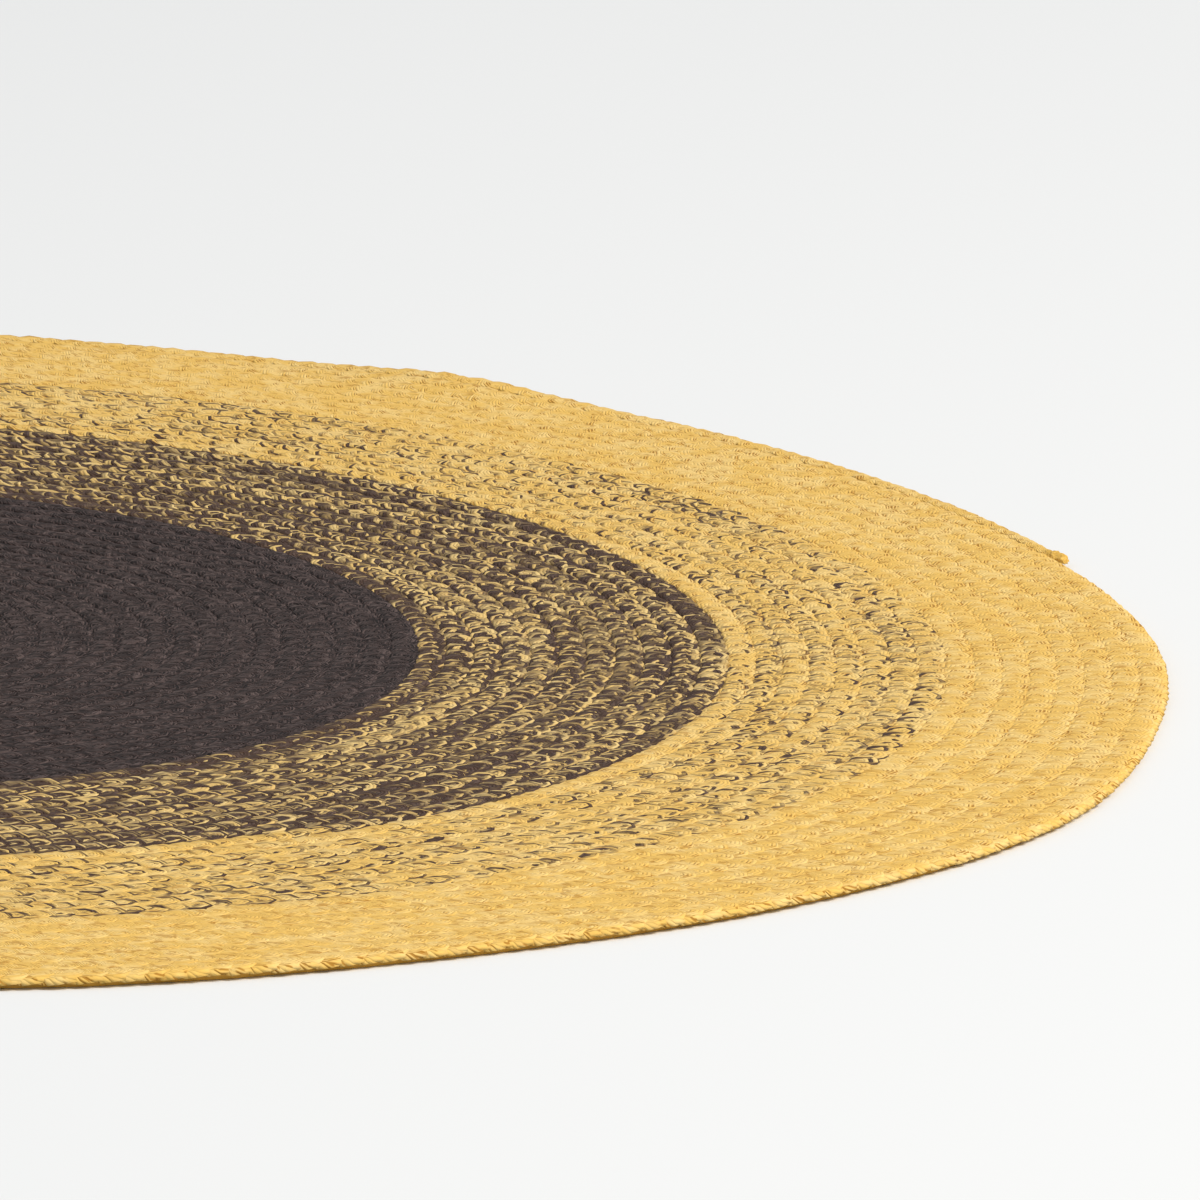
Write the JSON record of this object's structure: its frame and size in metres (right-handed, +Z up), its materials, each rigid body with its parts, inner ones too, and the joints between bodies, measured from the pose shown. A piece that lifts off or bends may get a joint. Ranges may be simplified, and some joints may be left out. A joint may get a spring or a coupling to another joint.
{
  "type": "round braided rug",
  "caption": "Flat round rug: a cotton braid coiled from the centre and sewn row to row, dark in the middle, mottled, flecked, then plain mustard yellow at the rim.",
  "frame": {"origin": "middle of the rug's outline, on the floor it lies on", "axes": "+Z up through the thickness, +X towards the right end of the rug as the picture shows it, +Y away from the camera"},
  "size_m": [1.195, 1.197, 0.0094],
  "materials": {
    "dark_braid": "matte",
    "mottled_braid": "matte",
    "flecked_braid": "matte",
    "yellow_braid": "matte"
  },
  "bodies": {
    "root": {"dark_centre": "dark_braid", "mottled_band": "mottled_braid", "flecked_band": "flecked_braid", "yellow_border": "yellow_braid"}
  },
  "joints": []
}
